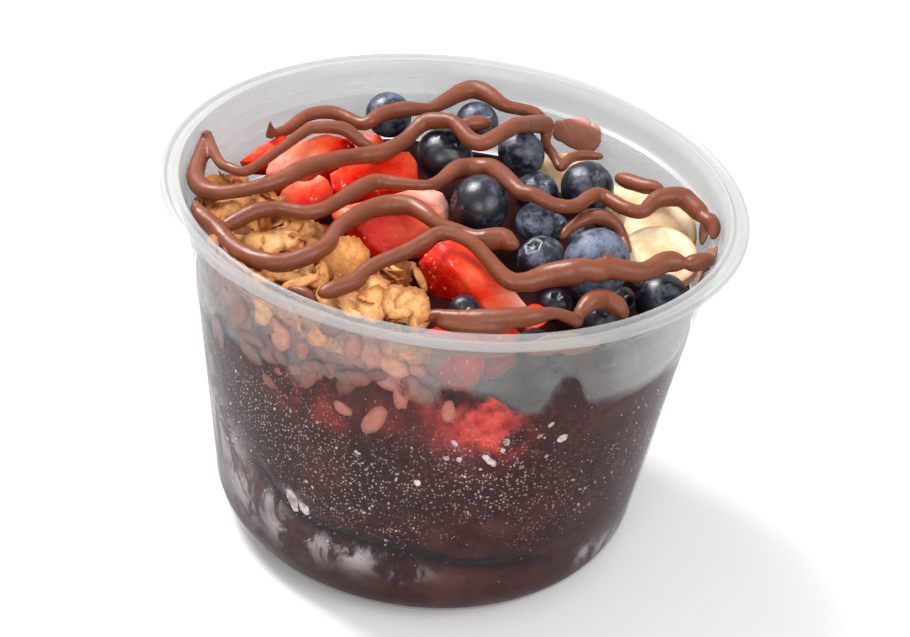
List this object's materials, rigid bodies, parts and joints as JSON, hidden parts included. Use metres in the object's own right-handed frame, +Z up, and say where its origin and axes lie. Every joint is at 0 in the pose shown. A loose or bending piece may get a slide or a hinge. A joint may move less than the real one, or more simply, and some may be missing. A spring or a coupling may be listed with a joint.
{
  "type": "acai bowl",
  "caption": "Clear round deli tub of acai under granola, strawberries, blueberries and banana, zigzagged with chocolate spread.",
  "frame": {"origin": "middle of the tub's base, on the surface it stands on", "axes": "+Z up out of the tub, +X to the right as served, +Y away from the front"},
  "size_m": [0.118, 0.118, 0.0814],
  "materials": {
    "clear_plastic": "clear, slightly milky, glossy",
    "acai": "frozen puree, smooth and damp",
    "granola": "toasted oat flakes, dry and rough",
    "banana": "cut fruit, soft sheen",
    "strawberry": "cut fruit, wet",
    "blueberry": "dark skin with a pale waxy bloom",
    "chocolate_spread": "smooth, soft gloss"
  },
  "bodies": {
    "root": {"acai": "acai", "banana_01": "banana", "banana_02": "banana", "banana_03": "banana", "banana_04": "banana", "blueberry_01": "blueberry", "blueberry_02": "blueberry", "blueberry_03": "blueberry", "blueberry_04": "blueberry", "blueberry_05": "blueberry", "blueberry_06": "blueberry", "blueberry_07": "blueberry", "blueberry_08": "blueberry", "blueberry_09": "blueberry", "blueberry_10": "blueberry", "blueberry_11": "blueberry", "blueberry_12": "blueberry", "blueberry_13": "blueberry", "blueberry_14": "blueberry", "blueberry_15": "blueberry", "blueberry_16": "blueberry", "blueberry_17": "blueberry", "blueberry_18": "blueberry", "blueberry_19": "blueberry", "blueberry_20": "blueberry", "blueberry_21": "blueberry", "granola": "granola", "smear_01": "chocolate_spread", "smear_02": "chocolate_spread", "smear_03": "chocolate_spread", "smear_04": "chocolate_spread", "spread_01": "chocolate_spread", "spread_02": "chocolate_spread", "spread_03": "chocolate_spread", "spread_04": "chocolate_spread", "spread_05": "chocolate_spread", "spread_06": "chocolate_spread", "spread_07": "chocolate_spread", "spread_08": "chocolate_spread", "spread_09": "chocolate_spread", "strawberry_01": "strawberry", "strawberry_02": "strawberry", "strawberry_03": "strawberry", "strawberry_04": "strawberry", "strawberry_05": "strawberry", "strawberry_06": "strawberry", "strawberry_07": "strawberry", "strawberry_08": "strawberry", "strawberry_09": "strawberry", "strawberry_10": "strawberry", "strawberry_11": "strawberry", "tub": "clear_plastic"}
  },
  "joints": []
}
